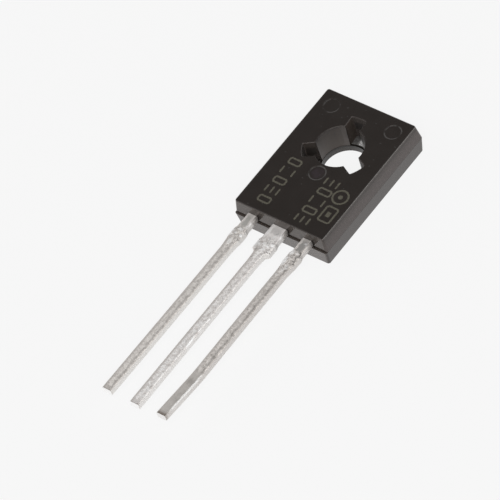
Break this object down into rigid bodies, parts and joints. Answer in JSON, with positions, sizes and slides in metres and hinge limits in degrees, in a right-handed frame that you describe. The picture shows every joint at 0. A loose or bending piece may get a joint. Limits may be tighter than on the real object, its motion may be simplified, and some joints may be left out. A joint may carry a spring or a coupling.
{
  "type": "power transistor",
  "caption": "Flat moulded power transistor with a screw hole, a bare metal mounting tab in its back and three straight leads.",
  "frame": {"origin": "on the screw hole's axis, in the plane of the back, which is the mounting face", "axes": "+Z out of the marked front, +Y from the leads towards the hole end, +X to the right seen from the front"},
  "size_m": [0.0074, 0.0263, 0.0024],
  "materials": {
    "moulding_compound": "black moulded epoxy, fine matte grain on the front, smoother on the drafted walls",
    "tinned_strip": "copper alloy strip, lumpy solder-dip coat, silver grey",
    "silicon": "polished silicon",
    "soft_solder": "dull solder",
    "bond_wire_metal": "drawn aluminium wire"
  },
  "bodies": {
    "root": {"moulded_body": "moulding_compound", "collector_frame": "tinned_strip", "emitter_lead": "tinned_strip", "base_lead": "tinned_strip", "transistor_die": "silicon", "die_attach_solder": "soft_solder", "emitter_bond_wire": "bond_wire_metal", "base_bond_wire": "bond_wire_metal"}
  },
  "joints": []
}
